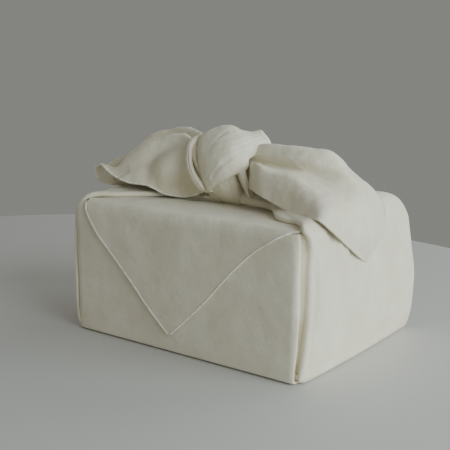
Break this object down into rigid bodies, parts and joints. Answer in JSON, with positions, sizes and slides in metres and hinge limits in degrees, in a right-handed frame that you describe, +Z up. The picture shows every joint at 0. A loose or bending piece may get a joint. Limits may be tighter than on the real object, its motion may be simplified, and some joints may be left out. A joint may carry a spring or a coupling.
{
  "type": "fabric gift wrap",
  "caption": "Square of plain off-white cloth folded round a box shape, with a pointed flap down the front and the side corners tied in a knot on top.",
  "frame": {"origin": "middle of the flat bottom, on the surface the wrap rests on", "axes": "+X along the long side towards the right free end, -Y towards the side with the pointed flap, +Z up"},
  "size_m": [0.2286, 0.1578, 0.1572],
  "materials": {
    "cloth": "matt plain-woven off-white cotton with a light slub and a narrow stitched hem"
  },
  "bodies": {
    "root": {"wrap_cloth": "cloth"}
  },
  "joints": []
}
